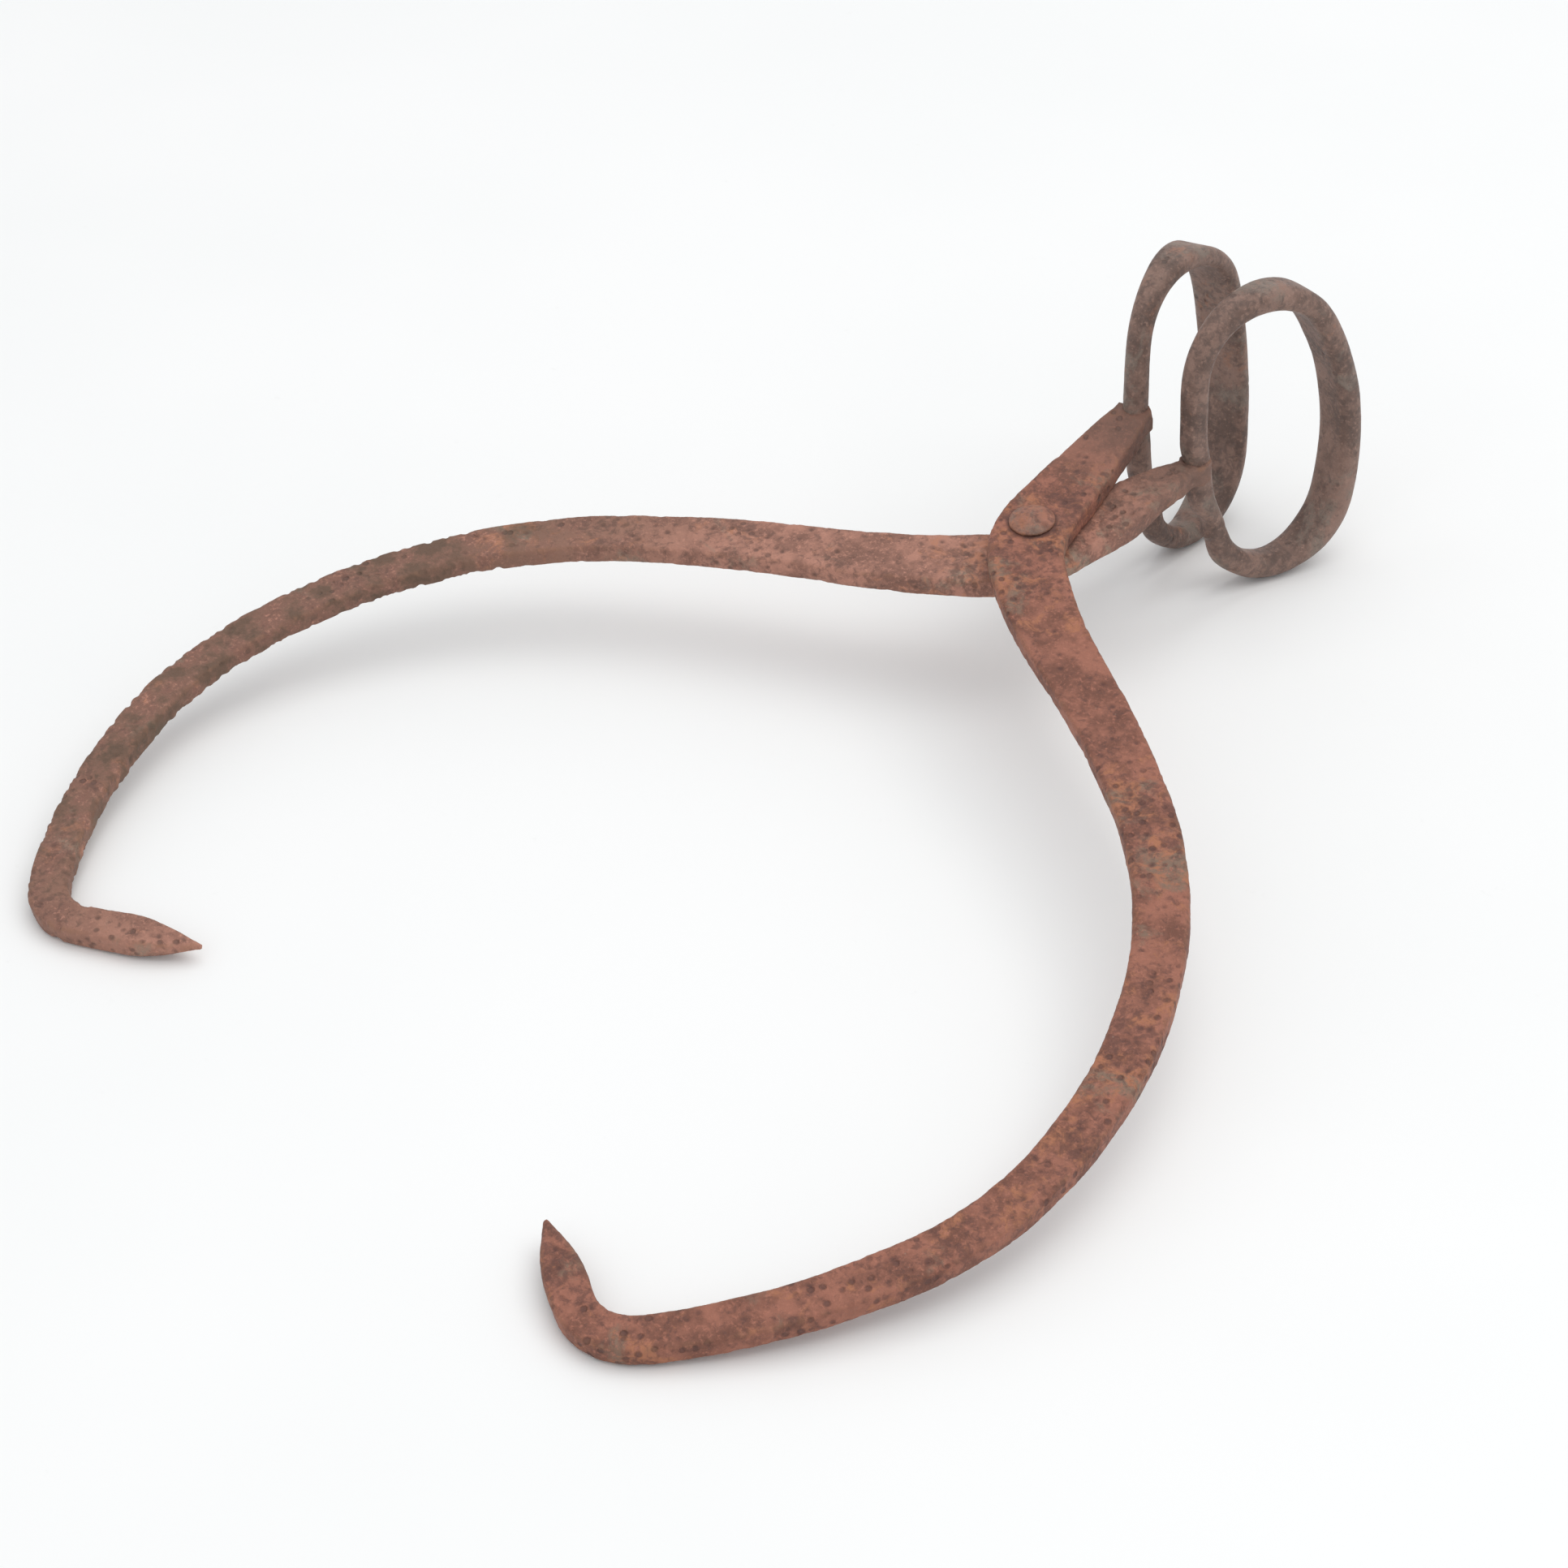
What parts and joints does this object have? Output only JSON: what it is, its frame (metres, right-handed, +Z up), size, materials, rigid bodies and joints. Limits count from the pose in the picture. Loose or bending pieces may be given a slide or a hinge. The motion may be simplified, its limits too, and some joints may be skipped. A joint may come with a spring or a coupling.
{
  "type": "ice tongs",
  "caption": "Hand-forged scissor tongs for carrying ice: crossed curved arms on a rivet, hooked points to bite the block and upright loop handles.",
  "frame": {"origin": "on the floor under the middle of the whole tongs as they lie at rest", "axes": "+Z up, +Y from the hooks towards the loop handles, +X towards the upper arm's hook"},
  "size_m": [0.4041, 0.4838, 0.1223],
  "materials": {
    "arm_iron": "rusted, pitted and hammered",
    "handle_iron": "rusted, hand-worn smooth",
    "rivet_iron": "rusted, hammered"
  },
  "bodies": {
    "lower_half": {"lower_arm": "arm_iron", "lower_ring_handle": "handle_iron", "pivot_rivet": "rivet_iron"},
    "upper_half": {"upper_arm": "arm_iron", "upper_ring_handle": "handle_iron"}
  },
  "joints": [
    {"name": "arm_pivot", "type": "hinge", "parent": "lower_half", "child": "upper_half", "pos_m": [-0.00408, 0.10085, 0.05186], "axis": [0.0279, -0.1391, 0.9899], "range_deg": [-10, 60]}
  ]
}
